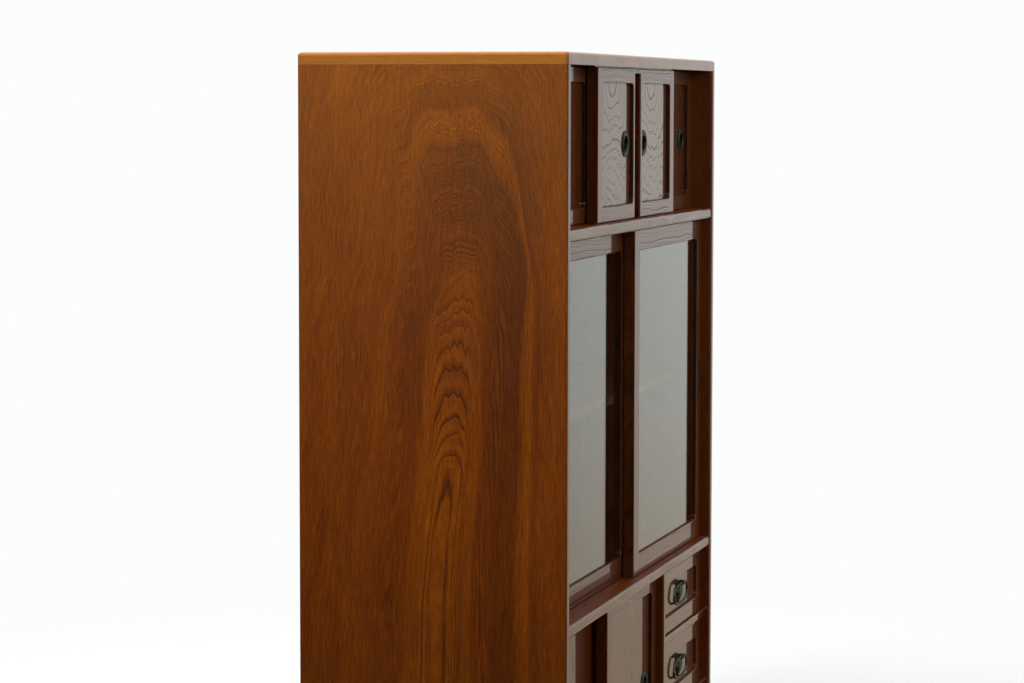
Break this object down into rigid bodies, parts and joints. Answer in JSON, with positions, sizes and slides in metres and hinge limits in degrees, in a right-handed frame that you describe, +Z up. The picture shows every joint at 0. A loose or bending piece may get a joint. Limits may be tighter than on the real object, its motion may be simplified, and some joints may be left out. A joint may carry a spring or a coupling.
{
  "type": "tea cabinet",
  "caption": "Tall tea cabinet: small sliding panel doors above, sliding glass doors in the middle, sliding panel doors and drawers with drop rings below.",
  "frame": {"origin": "centre of the base on the floor, half way between the sides and between front and back", "axes": "+Z up, +X to the right seen from the front, front towards -Y"},
  "size_m": [1, 0.405, 1.26],
  "materials": {
    "stained_oak": "stained oak veneer under gloss lacquer",
    "stained_oak_edge": "stained oak under gloss lacquer, a little lighter along its edges",
    "oak_inside": "stained oak plywood, satin",
    "plain_wood": "unstained softwood and plywood, planed",
    "glass": "clear float glass",
    "antique_bronze": "dark antique bronze"
  },
  "bodies": {
    "carcass": {"side_left": "stained_oak", "side_right": "stained_oak", "top_board": "stained_oak_edge", "middle_shelf": "stained_oak", "low_shelf": "stained_oak", "bottom_board": "stained_oak", "kick_board": "stained_oak", "rear_base_rail": "plain_wood", "back_panel": "oak_inside", "divider": "stained_oak", "drawer_rail_1": "stained_oak", "drawer_rail_2": "stained_oak", "dust_board_1": "plain_wood", "dust_board_2": "plain_wood", "loose_shelf": "oak_inside", "shelf_batten_left": "oak_inside", "shelf_batten_right": "oak_inside"},
    "upper_door_1": {"upper_door_1_frame": "stained_oak", "upper_door_1_panel": "stained_oak", "upper_door_1_pull": "antique_bronze"},
    "upper_door_2": {"upper_door_2_frame": "stained_oak", "upper_door_2_panel": "stained_oak", "upper_door_2_pull": "antique_bronze"},
    "upper_door_3": {"upper_door_3_frame": "stained_oak", "upper_door_3_panel": "stained_oak", "upper_door_3_pull": "antique_bronze"},
    "upper_door_4": {"upper_door_4_frame": "stained_oak", "upper_door_4_panel": "stained_oak", "upper_door_4_pull": "antique_bronze"},
    "glass_door_left": {"glass_door_left_frame": "stained_oak", "glass_door_left_pane": "glass", "glass_door_left_pull": "antique_bronze"},
    "lower_door_left": {"lower_door_left_frame": "stained_oak", "lower_door_left_panel": "stained_oak", "lower_door_left_pull": "antique_bronze"},
    "glass_door_right": {"glass_door_right_frame": "stained_oak", "glass_door_right_pane": "glass", "glass_door_right_pull": "antique_bronze"},
    "lower_door_right": {"lower_door_right_frame": "stained_oak", "lower_door_right_panel": "stained_oak", "lower_door_right_pull": "antique_bronze"},
    "drawer_1": {"drawer_1_front": "stained_oak", "drawer_1_box": "plain_wood", "drawer_1_bottom": "plain_wood", "drawer_1_plate": "antique_bronze", "drawer_1_post": "antique_bronze"},
    "ring_1": {"drawer_1_ring": "antique_bronze"},
    "drawer_2": {"drawer_2_front": "stained_oak", "drawer_2_box": "plain_wood", "drawer_2_bottom": "plain_wood", "drawer_2_plate": "antique_bronze", "drawer_2_post": "antique_bronze"},
    "ring_2": {"drawer_2_ring": "antique_bronze"},
    "drawer_3": {"drawer_3_front": "stained_oak", "drawer_3_box": "plain_wood", "drawer_3_bottom": "plain_wood", "drawer_3_plate": "antique_bronze", "drawer_3_post": "antique_bronze"},
    "ring_3": {"drawer_3_ring": "antique_bronze"}
  },
  "joints": [
    {"name": "drawer_1_slide", "type": "slide", "parent": "carcass", "child": "drawer_1", "axis": [0, -1, 0], "range_m": [0, 0.26]},
    {"name": "drawer_2_slide", "type": "slide", "parent": "carcass", "child": "drawer_2", "axis": [0, -1, 0], "range_m": [0, 0.26]},
    {"name": "drawer_3_slide", "type": "slide", "parent": "carcass", "child": "drawer_3", "axis": [0, -1, 0], "range_m": [0, 0.26]},
    {"name": "glass_door_left_slide", "type": "slide", "parent": "carcass", "child": "glass_door_left", "axis": [1, 0, 0], "range_m": [0, 0.465]},
    {"name": "glass_door_right_slide", "type": "slide", "parent": "carcass", "child": "glass_door_right", "axis": [-1, 0, 0], "range_m": [0, 0.465]},
    {"name": "lower_door_left_slide", "type": "slide", "parent": "carcass", "child": "lower_door_left", "axis": [1, 0, 0], "range_m": [0, 0.294]},
    {"name": "lower_door_right_slide", "type": "slide", "parent": "carcass", "child": "lower_door_right", "axis": [-1, 0, 0], "range_m": [0, 0.294]},
    {"name": "ring_1_swing", "type": "hinge", "parent": "drawer_1", "child": "ring_1", "pos_m": [0.32225, -0.1892, 0.377], "axis": [-1, 0, 0], "range_deg": [0, 160]},
    {"name": "ring_2_swing", "type": "hinge", "parent": "drawer_2", "child": "ring_2", "pos_m": [0.32225, -0.1892, 0.2505], "axis": [-1, 0, 0], "range_deg": [0, 160]},
    {"name": "ring_3_swing", "type": "hinge", "parent": "drawer_3", "child": "ring_3", "pos_m": [0.32225, -0.1892, 0.124], "axis": [-1, 0, 0], "range_deg": [0, 160]},
    {"name": "upper_door_1_slide", "type": "slide", "parent": "carcass", "child": "upper_door_1", "axis": [1, 0, 0], "range_m": [0, 0.222]},
    {"name": "upper_door_2_slide", "type": "slide", "parent": "carcass", "child": "upper_door_2", "axis": [-1, 0, 0], "range_m": [0, 0.222]},
    {"name": "upper_door_3_slide", "type": "slide", "parent": "carcass", "child": "upper_door_3", "axis": [1, 0, 0], "range_m": [0, 0.222]},
    {"name": "upper_door_4_slide", "type": "slide", "parent": "carcass", "child": "upper_door_4", "axis": [-1, 0, 0], "range_m": [0, 0.222]}
  ]
}
